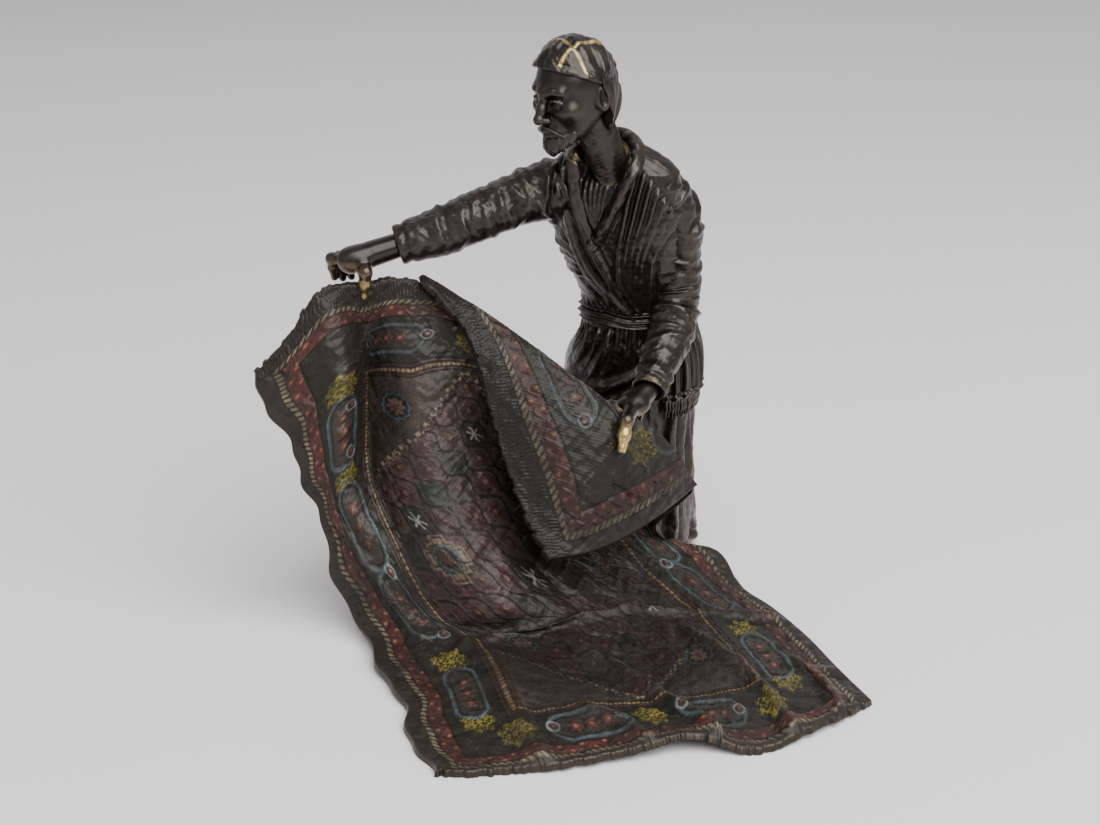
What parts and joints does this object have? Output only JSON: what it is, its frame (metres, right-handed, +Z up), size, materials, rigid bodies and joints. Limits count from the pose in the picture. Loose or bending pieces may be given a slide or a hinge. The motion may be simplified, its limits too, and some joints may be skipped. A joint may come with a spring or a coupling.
{
  "type": "bronze statuette",
  "caption": "Patinated bronze figurine of a kneeling carpet seller holding up a patterned rug that falls and spreads in front; stands freely as a decorative object.",
  "frame": {"origin": "middle of the bronze's bounding box, on its resting plane", "axes": "+Z up, the figure faces -Y over the rug, +X to the right as seen from the front"},
  "size_m": [0.2332, 0.2539, 0.2293],
  "materials": {
    "patinated_bronze": "glossy dark brown patina",
    "rubbed_bronze": "satin, patina rubbed through to the metal",
    "painted_rug": "cold-painted pattern under a glossy varnish",
    "bare_brass": "machined"
  },
  "bodies": {
    "root": {"rug_panel": "painted_rug", "rug_flap": "painted_rug", "fold_rivets": "bare_brass", "rug_post": "patinated_bronze", "post_screw": "bare_brass", "foot_plate": "patinated_bronze", "foot_screws": "bare_brass", "robe_skirt": "patinated_bronze", "slippers": "patinated_bronze", "waist_plate": "patinated_bronze", "waist_stud": "bare_brass", "waist_nut": "bare_brass", "sash": "patinated_bronze", "sash_tail": "patinated_bronze", "sash_fringe": "patinated_bronze", "coat_body": "patinated_bronze", "coat_lapel": "patinated_bronze", "shirt_front": "patinated_bronze", "collar": "patinated_bronze", "neck": "patinated_bronze", "neck_dowel": "bare_brass", "head": "patinated_bronze", "beard": "patinated_bronze", "cap": "patinated_bronze", "cap_braid": "rubbed_bronze", "head_cloth": "patinated_bronze", "sleeve_right": "patinated_bronze", "sleeve_left": "patinated_bronze", "shoulder_dowels": "bare_brass", "wrist_dowels": "bare_brass", "hand_right": "rubbed_bronze", "hand_left": "rubbed_bronze", "hand_rivets": "bare_brass"}
  },
  "joints": []
}
